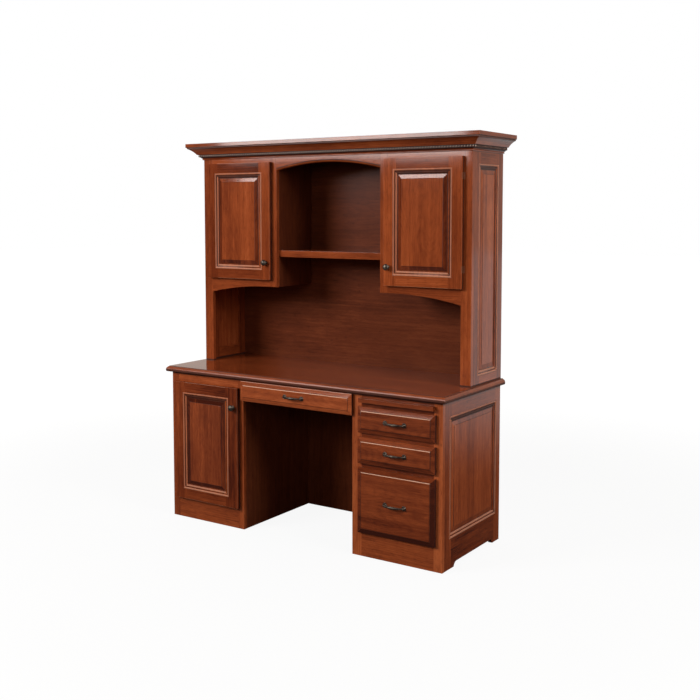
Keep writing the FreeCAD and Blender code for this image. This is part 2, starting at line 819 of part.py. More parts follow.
def build_hutch():
    boards, panel = hutch_ends()
    holes = dowel_holes() + pin_holes(cabinet_pins)
    boards = [b.cut(holes) for b in boards]
    save("hutch_end_frames", both_sides(boards))
    save("hutch_end_panels", both_sides([panel]))
    save("hutch_face_frame", hutch_face_frame())
    top_low = hutch_top - side_thickness
    divider = board(bay, divider_out, hutch_inside, hutch_wall, valance_bottom, top_low)
    save("hutch_dividers", both_sides([divider.cut(pin_holes(cabinet_pins))]))
    floor = board(divider_out, end_in, hutch_inside, hutch_wall, cabinet_floor_top - side_thickness,
                  cabinet_floor_top)
    save("cabinet_floors", both_sides([floor]))
    save("hutch_top_board", [board(-end_in, end_in, hutch_inside, hutch_wall, top_low, hutch_top)])
    save("hutch_back", [board(-end_in, end_in, hutch_wall, hutch_wall + hutch_back_thickness,
                              desk_height, hutch_top)])
    shelf_top = desk_height + centre_shelf_height
    lip_back = hutch_inside + nosing_depth
    save("centre_shelf", [
        board(-bay, bay, lip_back, hutch_wall, shelf_top - shelf_thickness, shelf_top),
        board(-bay, bay, hutch_inside, lip_back, shelf_top - nosing_height, shelf_top),
    ])
    gap = shelf_side_clearance
    shelf = board(divider_out + gap, end_in - gap, hutch_inside + shelf_front_set, hutch_wall - gap,
                  cabinet_shelf_under, cabinet_shelf_under + shelf_thickness)
    save("cabinet_shelves", both_sides([shelf]))
    pins = [rod(pin_radius, a, b) for a, b in cabinet_pins]
    save("shelf_pins", both_sides(pins) + [rod(pin_radius, a, b) for a, b in left_pins])
    save("hutch_dowels", [rod(dowel_radius, a, b) for a, b in dowel_lines()])
    crown, rope = crown_runs()
    save("crown_moulding", crown)
    save("rope_bead", rope)


def build_doors():
    door("left_upper_door", -door_out, -door_in, hutch_door_bottom, hutch_door_height, hutch_front,
         hutch_door_stile, hutch_door_stile, -1, hutch_door_bottom + hutch_knob_rise)
    door("right_upper_door", door_in, door_out, hutch_door_bottom, hutch_door_height, hutch_front,
         hutch_door_stile, hutch_door_stile, 1, hutch_door_bottom + hutch_knob_rise)
    low = left_base_rail - overlay
    height = top_under - left_top_rail + overlay - low
    door("lower_door", -half + outer_stile - overlay, -ped_in - left_inner_stile + overlay, low, height, 0,
         base_door_stile, base_door_rail, -1, low + height - base_knob_drop)
    save("hinge_frame_leaves", hinge_frame_solids)


def build_drawers():
    small_box = drawer_opening - 2 * box_clearance
    pedestal_drawer("upper_drawer", upper_low, drawer_opening, small_box, small_box / 2)
    pedestal_drawer("middle_drawer", middle_low, drawer_opening, small_box, small_box / 2)
    file_box = file_opening - box_clearance - file_headroom
    pedestal_drawer("file_drawer", file_low, file_opening, file_box, file_slide_rise)
    top = top_under - pencil_front_drop
    lap = ped_in + pencil_front_lap
    rect = (-lap, lap, top - pencil_front_height, top)
    box_low = top_under - kneehole_rail_height - pencil_box_gap - pencil_box_height
    drawer("pencil_drawer", -ped_in, ped_in, rect, box_low, pencil_box_height,
           box_low + pencil_box_height / 2, False)
    save("case_slide_members", slide_case_solids)
    save("slide_packing", packing_solids)
    writing_board()


def swapped(line):
    """The same pin on the other side of the middle."""
    a, b = line
    return (V(-b.x, b.y, b.z), V(-a.x, a.y, a.z))


left_pins = [swapped(line) for line in pedestal_pins]
build_desk()
build_hutch()
build_doors()
build_drawers()
print("origin shift", origin_shift.y, "front reach", front_reach)
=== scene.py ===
import json
import math
import random

import bmesh
import bpy
from mathutils import Matrix, Vector

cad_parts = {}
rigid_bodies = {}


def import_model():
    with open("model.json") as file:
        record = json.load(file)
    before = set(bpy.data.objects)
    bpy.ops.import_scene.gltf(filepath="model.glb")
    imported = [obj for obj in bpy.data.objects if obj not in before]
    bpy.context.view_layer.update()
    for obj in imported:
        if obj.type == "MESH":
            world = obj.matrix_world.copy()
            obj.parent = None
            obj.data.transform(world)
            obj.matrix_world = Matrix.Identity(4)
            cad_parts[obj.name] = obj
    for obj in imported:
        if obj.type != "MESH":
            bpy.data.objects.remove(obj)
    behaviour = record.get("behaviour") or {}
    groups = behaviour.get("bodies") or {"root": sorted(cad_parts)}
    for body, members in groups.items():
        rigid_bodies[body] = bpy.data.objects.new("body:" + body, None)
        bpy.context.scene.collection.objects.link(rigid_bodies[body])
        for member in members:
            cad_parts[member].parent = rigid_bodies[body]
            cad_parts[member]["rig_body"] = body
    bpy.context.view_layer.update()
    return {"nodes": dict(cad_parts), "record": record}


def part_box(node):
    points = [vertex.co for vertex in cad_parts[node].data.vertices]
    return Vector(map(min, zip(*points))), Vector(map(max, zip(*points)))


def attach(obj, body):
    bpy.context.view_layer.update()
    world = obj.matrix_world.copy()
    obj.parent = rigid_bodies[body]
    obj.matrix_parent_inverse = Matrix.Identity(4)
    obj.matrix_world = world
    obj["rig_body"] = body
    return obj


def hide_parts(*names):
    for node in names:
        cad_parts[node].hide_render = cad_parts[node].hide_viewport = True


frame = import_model()
nodes = frame["nodes"]
slotOf = {part["node"]: part["material_slot"] for part in frame["record"]["subparts"]}
chance = random.Random(11)
print("frame loaded:", len(nodes), "nodes")


# Small helpers for shader nodes

def place(tree, kind, inputs=None, **settings):
    node = tree.nodes.new("ShaderNode" + kind)
    for name, value in settings.items():
        setattr(node, name, value)
    for socket, value in (inputs or {}).items():
        if isinstance(value, bpy.types.NodeSocket):
            tree.links.new(value, node.inputs[socket])
        else:
            node.inputs[socket].default_value = value
    return node


def calc(tree, operation, *values):
    return place(tree, "Math", dict(enumerate(values)), operation=operation).outputs[0]


def mixed(tree, factor, first, second, mode="MIX"):
    inputs = {0: factor, 6: first, 7: second}
    return place(tree, "Mix", inputs, data_type="RGBA", blend_type=mode).outputs[2]


def stretched(tree, vector, scale):
    return place(tree, "VectorMath", {0: vector, 1: scale}, operation="MULTIPLY").outputs[0]


def noise(tree, vector, detail=2.0, roughness=0.5):
    inputs = {"Vector": vector, "Scale": 1.0, "Detail": detail, "Roughness": roughness}
    return place(tree, "TexNoise", inputs).outputs[0]


def remapped(tree, value, low, high, toLow=0.0, toHigh=1.0):
    return place(tree, "MapRange", {0: value, 1: low, 2: high, 3: toLow, 4: toHigh}).outputs[0]


def fromNoise(tree, value, toLow, toHigh):
    return remapped(tree, value, 0.3, 0.7, toLow, toHigh)        # most of a noise lies between these two


def newGroup(name, inputs, outputs):
    tree = bpy.data.node_groups.new(name, "ShaderNodeTree")
    for label, default in inputs.items():
        socket = tree.interface.new_socket(label, in_out="INPUT", socket_type="NodeSocketFloat")
        socket.default_value = default
    for label in outputs:
        tree.interface.new_socket(label, in_out="OUTPUT", socket_type="NodeSocketFloat")
    return tree, tree.nodes.new("NodeGroupInput").outputs, tree.nodes.new("NodeGroupOutput").inputs


# Figure of the boards: "grain" runs along, across and through each board, "tone" is the board's own shade,
# which on the rails between the drawers and on the rope's returns also holds painted shade

figureScale = {
    "swell": 0.9,                # how often the growth rings close to an arch, per metre
    "wobble": (2.4, 26.0, 26.0),
    "streak": (1.4, 48.0, 48.0),
    "fibre": (9.0, 520.0, 520.0),
    "pore": (34.0, 460.0, 460.0),
    "blotch": (2.4, 8.0, 8.0),
    "fleck": (15.0, 66.0, 66.0),
}
figureShape = {
    "boardKey": 31.7,            # sets the planks of one board apart from those of the next
    "plankSlide": 5.0,           # how far a plank's figure may be moved along it
    "heartSide": 0.03,           # how far the heart may lie to either side of a plank's middle
    "heartDepth": -0.12,
    "heartSwell": 0.3,
    "ringWobble": 2.2,
    "poreLevels": (0.66, 0.74),
}


def makeBoardFigure():
    dials = {"Plank width": 0.09, "Ring gap": 0.007, "Rings": 0.2, "Streaks": 0.2, "Blotches": 0.2,
             "Plank tones": 0.2, "Board tones": 0.2, "Flecks": 0.15, "PaintedLightAndWear": 0.3}
    masks = ("Shade", "Fibre", "Pores", "PaintedShade", "RubbedAndHighlight", "Relief")
    tree, given, result = newGroup("boardFigure", dials, masks)
    grain = place(tree, "Attribute", attribute_name="grain").outputs["Vector"]
    tone = place(tree, "Attribute", attribute_name="tone").outputs["Fac"]
    along, across, through = place(tree, "SeparateXYZ", {0: grain}).outputs

    # every glued plank of a wide board has its own draw
    planks = calc(tree, "DIVIDE", across, given["Plank width"])
    boardKey = calc(tree, "MULTIPLY", tone, figureShape["boardKey"])
    key = place(tree, "CombineXYZ", {0: calc(tree, "FLOOR", planks), 1: boardKey}).outputs[0]
    draw = place(tree, "TexWhiteNoise", {"Vector": key}, noise_dimensions="2D").outputs["Color"]
    drawShift, drawSide, drawTone = place(tree, "SeparateColor", {0: draw}).outputs
    shifted = calc(tree, "MULTIPLY_ADD", drawShift, figureShape["plankSlide"], along)
    point = place(tree, "CombineXYZ", {0: shifted, 1: across, 2: through}).outputs[0]

    # growth rings: the distance from the heart, which rises and falls along the plank
    swellIn = calc(tree, "MULTIPLY", shifted, figureScale["swell"])
    swell = place(tree, "TexNoise", {"W": swellIn, "Scale": 1.0, "Detail": 1.0},
                  noise_dimensions="1D").outputs[0]
    middle = calc(tree, "MULTIPLY", calc(tree, "SUBTRACT", calc(tree, "FRACT", planks), 0.5),
                  given["Plank width"])
    farSide = calc(tree, "ADD", middle, figureShape["heartSide"])
    side = calc(tree, "MULTIPLY_ADD", drawSide, -2 * figureShape["heartSide"], farSide)
    depth = calc(tree, "MULTIPLY_ADD", swell, figureShape["heartSwell"], figureShape["heartDepth"])
    heart = place(tree, "CombineXYZ", {0: side, 1: depth}).outputs[0]
    reach = place(tree, "VectorMath", {0: heart}, operation="LENGTH").outputs["Value"]
    wobble = noise(tree, stretched(tree, point, figureScale["wobble"]))
    turns = calc(tree, "DIVIDE", reach, given["Ring gap"])
    turns = calc(tree, "MULTIPLY_ADD", wobble, figureShape["ringWobble"], turns)
    ring = calc(tree, "POWER", calc(tree, "MULTIPLY", calc(tree, "PINGPONG", turns, 0.5), 2.0), 2.0)

    streak = noise(tree, stretched(tree, point, figureScale["streak"]), 4.0, 0.6)
    fibre = noise(tree, stretched(tree, point, figureScale["fibre"]))
    blotch = noise(tree, stretched(tree, point, figureScale["blotch"]), 3.0, 0.55)
    fleck = noise(tree, stretched(tree, point, figureScale["fleck"]))
    pore = noise(tree, stretched(tree, point, figureScale["pore"]), 0.0)

    # each layer swings about its own middle value
    # this attribute shifts the shade: painted light and painted shade by how slopes, beads and edges turn to
    # the lamps, and rubbed edges
    paintedLightAndWear = place(tree, "Attribute", attribute_name="paintedLightAndWear").outputs["Fac"]
    shade = calc(tree, "MULTIPLY_ADD", tone, given["Board tones"], 0.5)
    shade = calc(tree, "MULTIPLY_ADD", paintedLightAndWear, given["PaintedLightAndWear"], shade)
    layers = ((drawTone, 0.5, 2.0, "Plank tones"), (streak, 0.5, 3.0, "Streaks"),
              (blotch, 0.5, 3.0, "Blotches"), (ring, 0.33, -1.0, "Rings"), (fleck, 0.5, 3.0, "Flecks"))
    for layer, centre, gain, dial in layers:
        swing = calc(tree, "MULTIPLY", calc(tree, "SUBTRACT", layer, centre), gain)
        shade = calc(tree, "MULTIPLY_ADD", swing, given[dial], shade)
    tree.links.new(shade, result["Shade"])
    tree.links.new(fibre, result["Fibre"])
    tree.links.new(remapped(tree, pore, *figureShape["poreLevels"]), result["Pores"])
    # this attribute is painted shade: inner corners, creases, quirks, undersides and the shadowed sides of
    # doors and fronts are darkened
    paintedShadeAndPores = place(tree, "Attribute", attribute_name="paintedShadeAndPores").outputs["Fac"]
    tree.links.new(paintedShadeAndPores, result["PaintedShade"])
    # the lightening part only: painted highlights on beads and edges, and rubbed edges
    tree.links.new(calc(tree, "MAXIMUM", paintedLightAndWear, 0.0), result["RubbedAndHighlight"])
    tree.links.new(noise(tree, stretched(tree, grain, figureScale["fibre"]), 1.0), result["Relief"])
    return tree


boardFigure = makeBoardFigure()


# Wood finishes: a stained colour over the figure, painted shade in the corners and creases, edges and beads
# lightened partly as painted highlights and partly as rubbed edges, and a lacquer

cherryTones = [(0.0, (0.055, 0.0098, 0.0045)), (0.25, (0.148, 0.0265, 0.008)), (0.5, (0.237, 0.047, 0.0135)),
               (0.75, (0.338, 0.071, 0.0195)), (1.0, (0.47, 0.112, 0.034))]
insideTones = [(0.0, (0.062, 0.013, 0.0055)), (0.25, (0.09, 0.02, 0.008)), (0.5, (0.128, 0.029, 0.011)),
               (0.75, (0.178, 0.043, 0.016)), (1.0, (0.25, 0.068, 0.025))]
# the rope's strands are cream as painted highlights, and dark at the low end as painted shade
ropeHighlightTones = [(0.0, (0.12, 0.05, 0.03)), (0.5, (0.78, 0.6, 0.47)), (1.0, (0.84, 0.7, 0.58))]
drawerTones = [(0.0, (0.3, 0.17, 0.08)), (0.4, (0.5, 0.33, 0.18)),
               (0.7, (0.6, 0.43, 0.26)), (1.0, (0.7, 0.54, 0.36))]

woodFinishes = {
    "cherry": {"tones": cherryTones, "gloss": 0.085, "plankWidth": 0.5, "ringGap": 0.009, "rings": 0.16,
               "streaks": 0.3, "blotches": 0.3, "plankTones": 0.0, "boardTones": 0.14, "relief": 0.02},
    "cherry_panel": {"tones": cherryTones, "gloss": 0.085, "plankWidth": 0.076, "ringGap": 0.008,
                     "rings": 0.12, "streaks": 0.28, "blotches": 0.27, "plankTones": 0.14,
                     "boardTones": 0.06, "relief": 0.02},
    "cherry_top": {"tones": cherryTones, "gloss": 0.1, "plankWidth": 0.12, "ringGap": 0.01,
                   "rings": 0.14, "streaks": 0.2, "blotches": 0.14, "plankTones": 0.1,
                   "boardTones": 0.02, "relief": 0.01},
    "cherry_inside": {"tones": insideTones, "gloss": 0.3, "shine": 0.12, "plankWidth": 0.3,
                      "ringGap": 0.016, "rings": 0.1, "streaks": 0.2, "blotches": 0.3,
                      "plankTones": 0.08, "boardTones": 0.05, "relief": 0.01},
    "drawer_wood": {"tones": drawerTones, "gloss": 0.42, "plankWidth": 0.16, "ringGap": 0.009,
                    "rings": 0.16, "streaks": 0.18, "blotches": 0.1, "plankTones": 0.08,
                    "boardTones": 0.1, "relief": 0.1},
    "rope_bead": {"tones": ropeHighlightTones, "gloss": 0.2, "plankWidth": 0.5, "ringGap": 0.02, "rings": 0.05,
                  "streaks": 0.1, "blotches": 0.1, "plankTones": 0.0, "boardTones": 0.15, "relief": 0.02},
}
# the first dark colour fills the pores, which is the wood's own, and is also the colour of the painted shade;
# the light colour paints highlights on beads and edges as well as rubbed edges
stainAndPaintedLight = {"paintedShadeAndPores": (0.022, 0.006, 0.004, 1.0), "paintedShadeDepth": 0.92, "poreDepth": 0.45,
         "rubbed": (0.7, 0.38, 0.25, 1.0), "rubbedAndHighlightLevels": (0.6, 1.8), "fibreTint": (0.86, 1.12)}
lacquer = {
    "shine": 0.5,
    "doorShine": 0.2,            # the door frames are duller than the rest
    "fibreSwing": (0.92, 1.1),   # how the gloss follows the fibres
    "rubbedAndHighlightGloss": 0.26,         # how much rougher the lacquer is on rubbed edges and painted highlights
    "paintedShadeGloss": 0.45,          # how much rougher the lacquer is where shade is painted
}
reliefDepth = 0.0003


def newFinish(name):
    material = bpy.data.materials.new(name)
    material.use_nodes = True
    return material, material.node_tree, material.node_tree.nodes["Principled BSDF"]


def addRelief(tree, shader, height, strength):
    bump = place(tree, "Bump", {"Height": height, "Strength": strength, "Distance": reliefDepth})
    tree.links.new(bump.outputs[0], shader.inputs["Normal"])


def woodFinish(name, look):
    material, tree, shader = newFinish(name)
    figure = tree.nodes.new("ShaderNodeGroup")
    figure.node_tree = boardFigure
    for label, key in (("Plank width", "plankWidth"), ("Ring gap", "ringGap"), ("Rings", "rings"),
                       ("Streaks", "streaks"), ("Blotches", "blotches"), ("Plank tones", "plankTones"),
                       ("Board tones", "boardTones")):
        figure.inputs[label].default_value = look[key]
    mask = figure.outputs
    ramp = place(tree, "ValToRGB", {0: mask["Shade"]})
    stops = ramp.color_ramp.elements
    stops.remove(stops[1])       # only the dark end of the ramp's own two stays
    for i, (position, colour) in enumerate(look["tones"]):
        stop = stops.new(position) if i else stops[0]
        stop.color = (*colour, 1.0)
    fibreTint = fromNoise(tree, mask["Fibre"], *stainAndPaintedLight["fibreTint"])
    colour = mixed(tree, 1.0, ramp.outputs[0], fibreTint, "MULTIPLY")
    colour = mixed(tree, calc(tree, "MULTIPLY", mask["Pores"], stainAndPaintedLight["poreDepth"]), colour, stainAndPaintedLight["paintedShadeAndPores"])
    colour = mixed(tree, remapped(tree, mask["RubbedAndHighlight"], *stainAndPaintedLight["rubbedAndHighlightLevels"]), colour, stainAndPaintedLight["rubbed"])
    colour = mixed(tree, calc(tree, "MULTIPLY", mask["PaintedShade"], stainAndPaintedLight["paintedShadeDepth"]), colour, stainAndPaintedLight["paintedShadeAndPores"])
    tree.links.new(colour, shader.inputs["Base Color"])
    gloss = fromNoise(tree, mask["Fibre"], *(look["gloss"] * swing for swing in lacquer["fibreSwing"]))
    gloss = calc(tree, "MULTIPLY_ADD", mask["RubbedAndHighlight"], lacquer["rubbedAndHighlightGloss"], gloss)
    gloss = calc(tree, "MULTIPLY_ADD", mask["PaintedShade"], lacquer["paintedShadeGloss"], gloss)
    tree.links.new(gloss, shader.inputs["Roughness"])
    shader.inputs["Specular IOR Level"].default_value = look.get("shine", lacquer["shine"])
    addRelief(tree, shader, mask["Relief"], look["relief"])
    return material


# Metal finishes: bronze knobs and pulls, hinges stained with the wood, brushed steel slides

bronzeLook = {"dark": (0.06, 0.05, 0.042, 1.0), "rubbed": (0.25, 0.2, 0.16, 1.0), "patina": 70.0,
              "wornLevels": (0.4, 0.7), "handRub": 0.3, "gloss": (0.34, 0.5), "metal": 0.9, "relief": 0.1}
hingeLook = {"stained": (0.2, 0.055, 0.02, 1.0), "darkShare": 0.12, "gloss": (0.4, 0.6), "metal": 0.2}
steelLook = {"dull": (0.36, 0.37, 0.38, 1.0), "bright": (0.62, 0.62, 0.61, 1.0), "brushed": (6.0, 5.0, 900.0),
             "gloss": (0.26, 0.42), "metal": 1.0}


def metalNoise(tree, scale, *detail):
    spot = place(tree, "TexCoord").outputs["Object"]
    return noise(tree, stretched(tree, spot, scale), *detail)


def patinaNoise(tree):
    return metalNoise(tree, (bronzeLook["patina"],) * 3, 4.0, 0.6)


def setMetal(tree, shader, colour, gloss, metal):
    tree.links.new(colour, shader.inputs["Base Color"])
    tree.links.new(gloss, shader.inputs["Roughness"])
    shader.inputs["Metallic"].default_value = metal


def bronzeFinish():
    material, tree, shader = newFinish("bronze")
    patina = patinaNoise(tree)
    rub = place(tree, "Attribute", attribute_name="tone").outputs["Fac"]
    worn = calc(tree, "ADD", remapped(tree, patina, *bronzeLook["wornLevels"]),
                calc(tree, "MULTIPLY", rub, bronzeLook["handRub"]))
    setMetal(tree, shader, mixed(tree, worn, bronzeLook["dark"], bronzeLook["rubbed"]),
             fromNoise(tree, patina, *bronzeLook["gloss"]), bronzeLook["metal"])
    addRelief(tree, shader, patina, bronzeLook["relief"])
    return material


def hingeFinish():
    material, tree, shader = newFinish("stainedHinge")
    patina = patinaNoise(tree)
    dark = fromNoise(tree, patina, 0.0, hingeLook["darkShare"])
    setMetal(tree, shader, mixed(tree, dark, hingeLook["stained"], bronzeLook["dark"]),
             fromNoise(tree, patina, *hingeLook["gloss"]), hingeLook["metal"])
    return material


def steelFinish():
    material, tree, shader = newFinish("steel")
    lines = metalNoise(tree, steelLook["brushed"])
    setMetal(tree, shader, mixed(tree, lines, steelLook["dull"], steelLook["bright"]),
             fromNoise(tree, lines, *steelLook["gloss"]), steelLook["metal"])
    return material


# by slot, and by node where a piece differs from its slot
finishes = {slot: woodFinish(slot, look) for slot, look in woodFinishes.items()}
finishes["bronze"] = bronzeFinish()
finishes["steel"] = steelFinish()
doorFinish = woodFinish("doorCherry", dict(woodFinishes["cherry"], shine=lacquer["doorShine"]))
finishes.update({node: doorFinish for node in nodes if node.endswith("door_frame")})
hinged = [node for node in nodes if node.endswith(("_hinge_leaves", "_frame_leaves"))]
finishes.update(dict.fromkeys(hinged, hingeFinish()))
print("finishes made:", len({finish.name for finish in finishes.values()}))


# Boards: every solid of a node is welded, its edges eased and its inner corners darkened as painted shade

easedEdge = {"cherry": 0.0009, "cherry_panel": 0.0009, "cherry_top": 0.0008, "cherry_inside": 0.0008,
             "drawer_wood": 0.001, "bronze": 0.0003, "steel": 0.0002}
# the widths and depth of the painted shade in inner corners and mouldings are set here too
boardDressing = {"weld": 0.00001, "flat": 0.4, "touch": 0.00005, "longEdge": 0.025, "cornerAngle": 40.0,
                 "creaseShadeWidth": 0.0012, "crownCreaseShadeWidth": 0.0022, "sharp": 35.0, "panelSharp": 5.0, "mitre": 0.004,
                 "bevelTilt": (6.0, 18.0), "mouldTilt": (18.0, 80.0), "mouldShade": 0.85, "edgeWear": 0.5,
                 "upwards": 0.2, "grainRun": 40.0}


def newMesh():
    mesh = bmesh.new()
    mesh.faces.layers.float.new("paintedShadeAndPores")
    mesh.faces.layers.float.new("paintedLightAndWear")
    return mesh


# the layers of painted shade and of painted light with rubbed edges
def paintedLightLayers(mesh):
    return mesh.faces.layers.float["paintedShadeAndPores"], mesh.faces.layers.float["paintedLightAndWear"]


def splitBoards(node):
    mesh = nodes[node].data
    openEdges, faces, boards = set(), [], []
    for polygon in mesh.polygons:
        corners = [tuple(round(c, 6) for c in mesh.vertices[v].co) for v in polygon.vertices]
        faces.append(corners)
        for a, b in zip(corners, corners[1:] + corners[:1]):
            if a != b:
                openEdges ^= {frozenset((a, b))}
        if not openEdges:        # the shell has closed, so the next face starts another board
            boards.append(faces)
            faces = []
    return boards


def boxOf(board):
    corners = [corner for face in board for corner in face]
    low = Vector(min(c[i] for c in corners) for i in range(3))
    high = Vector(max(c[i] for c in corners) for i in range(3))
    return low, high


def inBox(point, box):
    slack = boardDressing["touch"]
    return all(box[0][i] - slack <= point[i] <= box[1][i] + slack for i in range(3))


def grainStart():
    return chance.uniform(0, boardDressing["grainRun"])      # where along the grain a board is cut


def markGrain(mesh, low, high, tone, start):
    sizes = high - low
    order = sorted(range(3), key=lambda i: -sizes[i])
    grain = mesh.verts.layers.float_vector.new("grain")
    tones = mesh.verts.layers.float.new("tone")
    for vert in mesh.verts:
        spot = vert.co - low
        vert[grain] = (spot[order[0]] + start, spot[order[1]], spot[order[2]])
        vert[tones] = tone


def bevelled(mesh, edges, width, steps):
    made = bmesh.ops.bevel(mesh, geom=edges, offset=width, offset_type="OFFSET", affect="EDGES",
                           segments=steps, profile=0.5, material=-1, clamp_overlap=True)
    return made["faces"]


# Lighter or darker tones of whole pieces and of single boards, and painted light and shade on the slopes
# round a raised field

pieceTone = {"left_upper_door_frame": -0.9, "left_upper_door_panel": 0.3, "right_upper_door_frame": 0.6,
             "right_upper_door_panel": 2.6, "lower_door_frame": -1.4, "lower_door_panel": -1.2,
             "left_face_frame": 0.4, "right_face_frame": 2.0, "pencil_drawer_front": 3.2,
             "upper_drawer_front": -3.0, "middle_drawer_front": -1.7, "file_drawer_front": -1.1,
             "base_end_panels": 2.6, "hutch_end_panels": 2.5}
# the rails between the drawers are darkened as painted shade
boardTone = {"lowEndRail": -1.8, "leftStile": -1.0, "rightStile": 1.0, "drawerRailShade": -2.5,
             "footHeight": 0.2, "stileFrom": 0.5, "railLength": 0.2}
# painted light and shade on the slopes: top, bottom, left or front, right or rear
slopeLightAndShade = {
    "left_upper_door_panel": (-0.2, -1.5, -1.3, -1.1), "right_upper_door_panel": (0.0, -1.6, -1.2, -1.1),
    "lower_door_panel": (-1.7, -1.5, -1.3, -0.5), "file_drawer_front": (-0.8, -1.7, -0.8, -1.8),
    "upper_drawer_front": (0.2, -0.6, -0.2, -0.4), "middle_drawer_front": (0.2, -0.6, -0.2, -0.4),
    "pencil_drawer_front": (0.0, 0.2, 0.1, 0.2), "base_end_panels": (-0.8, -0.3, 0.2, -0.4),
    "hutch_end_panels": (-0.9, -0.5, 0.0, -0.5),
}
# painted highlights and painted shade on the step up to a raised field, by side
fieldStep = {"paintedLightAndWear": (0.0, 1.1, 0.0, 1.3), "paintedShadeAndPores": (0.85, 0.0, 0.6, 0.0)}       # in the same order
# drawer fronts: top edges and the field's upper step lightened as painted highlights, the field's other steps
# darkened as painted shade
frontEdge = {"ease": 0.002, "topHighlight": 1.0, "fieldHighlight": 1.8, "fieldShade": 0.45, "pencilShade": 0.1}
# the doors' eased edges lightened, as painted highlights and rubbed edges
doorEdge = {"ease": 0.0016, "paintedLightAndWear": 1.1}


def boardShade(node, box):
    low, high = box
    shade = chance.uniform(-1, 1) + pieceTone.get(node, 0.0)
    if node == "base_end_frames" and high.z < boardTone["footHeight"]:
        return shade + boardTone["lowEndRail"]
    if node == "hutch_face_frame" and high.x < -boardTone["stileFrom"]:
        return shade + boardTone["leftStile"]
    if node == "hutch_face_frame" and low.x > boardTone["stileFrom"]:
        return shade + boardTone["rightStile"]
    isRail = low.z > boardTone["footHeight"] and high.x - low.x > boardTone["railLength"]
    if node == "right_face_frame" and isRail:
        return shade + boardTone["drawerRailShade"]
    return shade


def sideFor(across, rise):
    if abs(rise) > abs(across):
        return 0 if rise > 0 else 1
    return 2 if across < 0 else 3


# paints light and shade by how a face turns: slopes by their side, and the steps of raised fields and
# mouldings
def markPaintedLight(mesh, node, box):
    sizes = box[1] - box[0]
    thin = min(range(3), key=lambda i: sizes[i])
    slopes, mouldings = boardDressing["bevelTilt"], boardDressing["mouldTilt"]
    paintedShadeAndPores, paintedLightAndWear = paintedLightLayers(mesh)
    for face in mesh.faces:
        face.normal_update()
        tilt = math.degrees(math.acos(min(1.0, abs(face.normal[thin]))))
        side = sideFor(face.normal[1 - thin], face.normal.z)
        if node in slopeLightAndShade and slopes[0] < tilt < slopes[1]:
            face[paintedLightAndWear] = slopeLightAndShade[node][side]
        elif mouldings[0] < tilt < mouldings[1]:
            if node.endswith(("_panel", "_panels")):
                face[paintedLightAndWear], face[paintedShadeAndPores] = fieldStep["paintedLightAndWear"][side], fieldStep["paintedShadeAndPores"][side]
            elif not node.endswith("_front"):
                face[paintedShadeAndPores] = boardDressing["mouldShade"]
            elif face.normal.z > boardDressing["upwards"]:
                face[paintedLightAndWear] = frontEdge["fieldHighlight"]
            else:
                face[paintedShadeAndPores] = frontEdge["pencilShade" if node.startswith("pencil") else "fieldShade"]


# Single boards with a form of their own: the arched rail and the desk top's nose, with painted light and
# shade on their rounded edges

# arch: a painted dark line where the rounding still faces forward, and the rest of the rounding lightened as
# painted light
archEdge = {"round": 0.013, "steps": 4, "facing": 0.5, "shadeTilt": 25.0, "paintedShadeAndPores": 0.9, "paintedLightAndWear": 0.35}
# nose: its rounding lightened, painted shade beneath it, and a little darker above
noseWearAndShade = {"level": 0.95, "paintedLightAndWear": 0.5, "under": 0.05, "underShade": 0.85, "paintedShadeAndPores": 0.18}


def mouldArch(mesh, box):
    front = box[0].y + boardDressing["touch"]
    lower = []
    for edge in mesh.edges:
        if all(vert.co.y < front for vert in edge.verts) and edge.is_manifold:
            if min(face.normal.z for face in edge.link_faces) < -archEdge["facing"]:
                lower.append(edge)
    made = bevelled(mesh, lower, archEdge["round"], archEdge["steps"])
    paintedShadeAndPores, paintedLightAndWear = paintedLightLayers(mesh)
    for face in made:
        face.normal_update()
        if abs(face.normal.x) < archEdge["facing"]:
            tilt = math.degrees(math.acos(min(1.0, abs(face.normal.y))))
            face[paintedShadeAndPores] = archEdge["paintedShadeAndPores"] if tilt < archEdge["shadeTilt"] else 0.0
            face[paintedLightAndWear] = archEdge["paintedLightAndWear"]


# lightens the nose's rounding and paints shade under it
def rubAndShadeNose(mesh):
    paintedShadeAndPores, paintedLightAndWear = paintedLightLayers(mesh)
    for face in mesh.faces:
        face.normal_update()
        if abs(face.normal.z) < noseWearAndShade["level"]:
            face[paintedLightAndWear] = noseWearAndShade["paintedLightAndWear"]
            face[paintedShadeAndPores] = noseWearAndShade["underShade" if face.normal.z < noseWearAndShade["under"] else "paintedShadeAndPores"]


# Painted shadow lines: bands of the crown, seams where boards meet (height, darkness), sides of doors and
# fronts

# crown: painted shadow under the fascia and round the rope's seat, and the downward cove lightened as painted
# light
crownBands = {"fascia": 0.0165, "quirk": 0.0105, "quirkShadow": 0.7, "overRope": 0.0015, "underRope": 0.005,
              "ropeShadow": 1.0, "coveFacing": -0.1, "coveLight": 0.6}
# painted shadow under the desk top and along the foot of the hutch
seamShadows = {"hutch": (0.006, 1.0), "deskFront": (0.009, 0.75), "deskEnd": (0.007, 0.6)}
# painted shade on the sides and feet of doors and drawer fronts
sideShade = {"paintedShadeAndPores": 0.92, "doorRear": 0.011, "facing": 0.9, "reach": 0.001}


def cutAt(mesh, axis, level):
    whole = mesh.verts[:] + mesh.edges[:] + mesh.faces[:]
    across = Vector(float(i == axis) for i in range(3))
    bmesh.ops.bisect_plane(mesh, geom=whole, dist=boardDressing["weld"], plane_co=across * level,
                           plane_no=across)


def darken(mesh, low, high, amount):
    for level in (low, high):
        cutAt(mesh, 2, level)
    paintedShadeAndPores = mesh.faces.layers.float["paintedShadeAndPores"]
    for face in mesh.faces:
        if low < face.calc_center_median().z < high:
            face[paintedShadeAndPores] = max(face[paintedShadeAndPores], amount)


